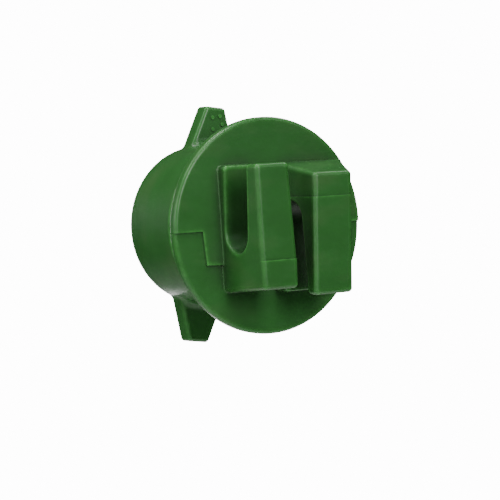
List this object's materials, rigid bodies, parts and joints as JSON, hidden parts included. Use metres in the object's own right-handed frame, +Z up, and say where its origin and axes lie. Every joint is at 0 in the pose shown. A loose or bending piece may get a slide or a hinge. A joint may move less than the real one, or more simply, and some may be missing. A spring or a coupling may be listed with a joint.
{
  "type": "fence insulator",
  "caption": "Plastic electric fence insulator: a round flange with opposed wire hooks in front and a screw-on winged cap that clamps it to a rod post.",
  "frame": {"origin": "where the axis of the clamped post crosses the insulator's own axis", "axes": "+Z up along the post, +Y out through the back of the nut, +X to the right seen from the front, where the wire hooks are"},
  "size_m": [0.05, 0.0495, 0.0566],
  "materials": {
    "body_plastic": "moulded green plastic, satin gloss",
    "nut_plastic": "moulded green plastic, satin gloss"
  },
  "bodies": {
    "insulator_body": {"insulator_body": "body_plastic"},
    "nut_centre": {"nut_gate_mark": "nut_plastic"},
    "clamp_nut": {"clamp_nut": "nut_plastic"}
  },
  "joints": [
    {"name": "nut_advance", "type": "slide", "parent": "insulator_body", "child": "nut_centre", "axis": [0, 1, 0], "range_m": [-0.004, 0.012]},
    {"name": "nut_turn", "type": "hinge", "parent": "nut_centre", "child": "clamp_nut", "pos_m": [0, 0, 0], "axis": [0, 1, 0], "range_deg": [-360, 1080]}
  ],
  "couplings": [
    {"joint": "nut_advance", "follows": "nut_turn", "m_per_rad": 0.00063661}
  ]
}
